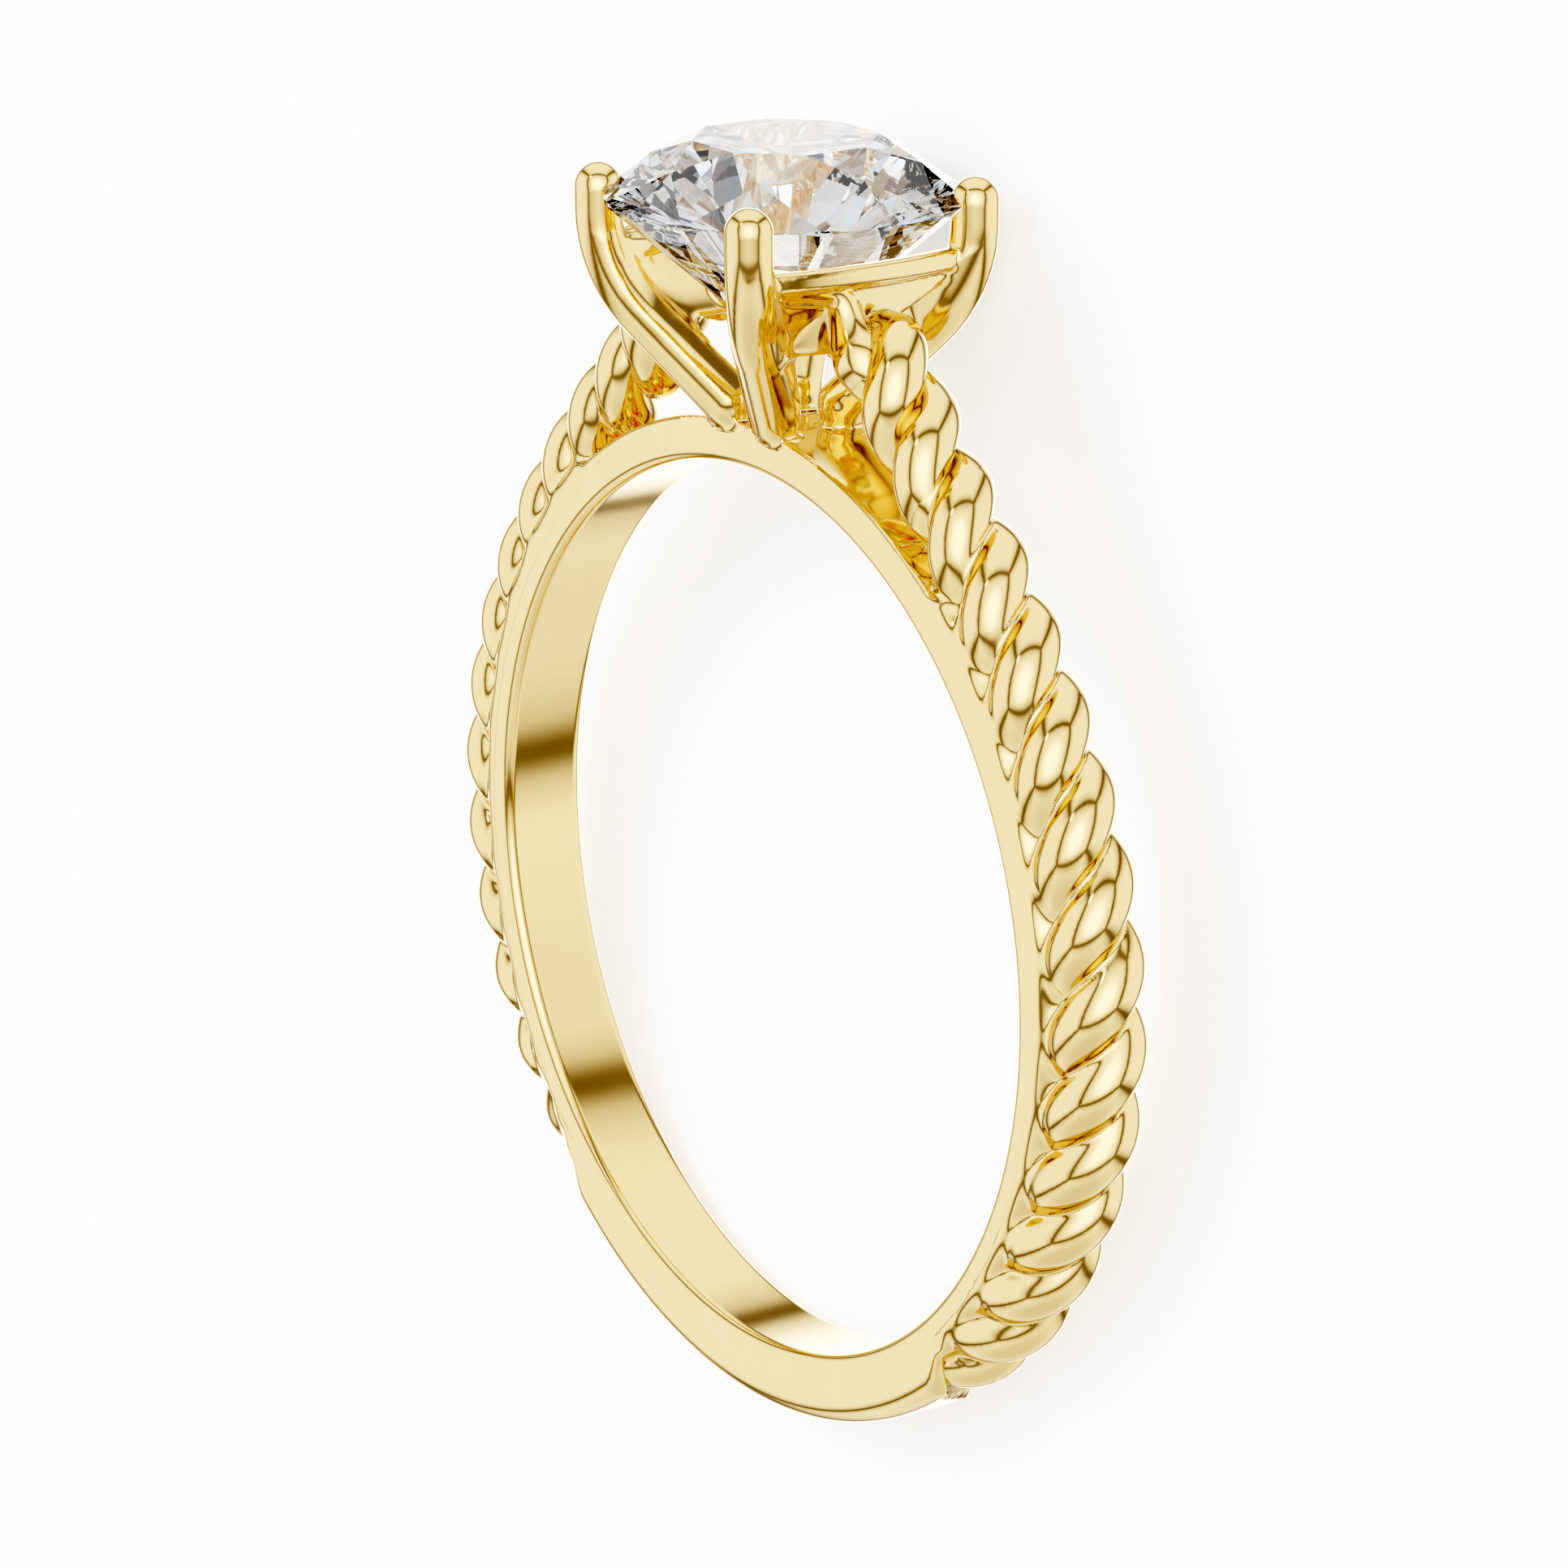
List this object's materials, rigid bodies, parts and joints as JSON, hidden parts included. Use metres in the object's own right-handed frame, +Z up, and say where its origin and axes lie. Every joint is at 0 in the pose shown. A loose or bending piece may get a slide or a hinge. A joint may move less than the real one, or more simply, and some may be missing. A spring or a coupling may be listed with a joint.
{
  "type": "solitaire engagement ring",
  "caption": "Slim yellow-gold finger ring with rope-twisted shoulders and a round brilliant held high in a pronged basket.",
  "frame": {"origin": "centre of the ring's outline on the surface that it lies on", "axes": "+Z up, nearly along the finger hole; +Y from the bottom of the band to the stone; +X across the band"},
  "size_m": [0.0206, 0.0238, 0.0064],
  "materials": {
    "gold": "polished yellow gold",
    "diamond": "clear faceted round brilliant"
  },
  "bodies": {
    "root": {"mounting": "gold", "stone": "diamond"}
  },
  "joints": []
}
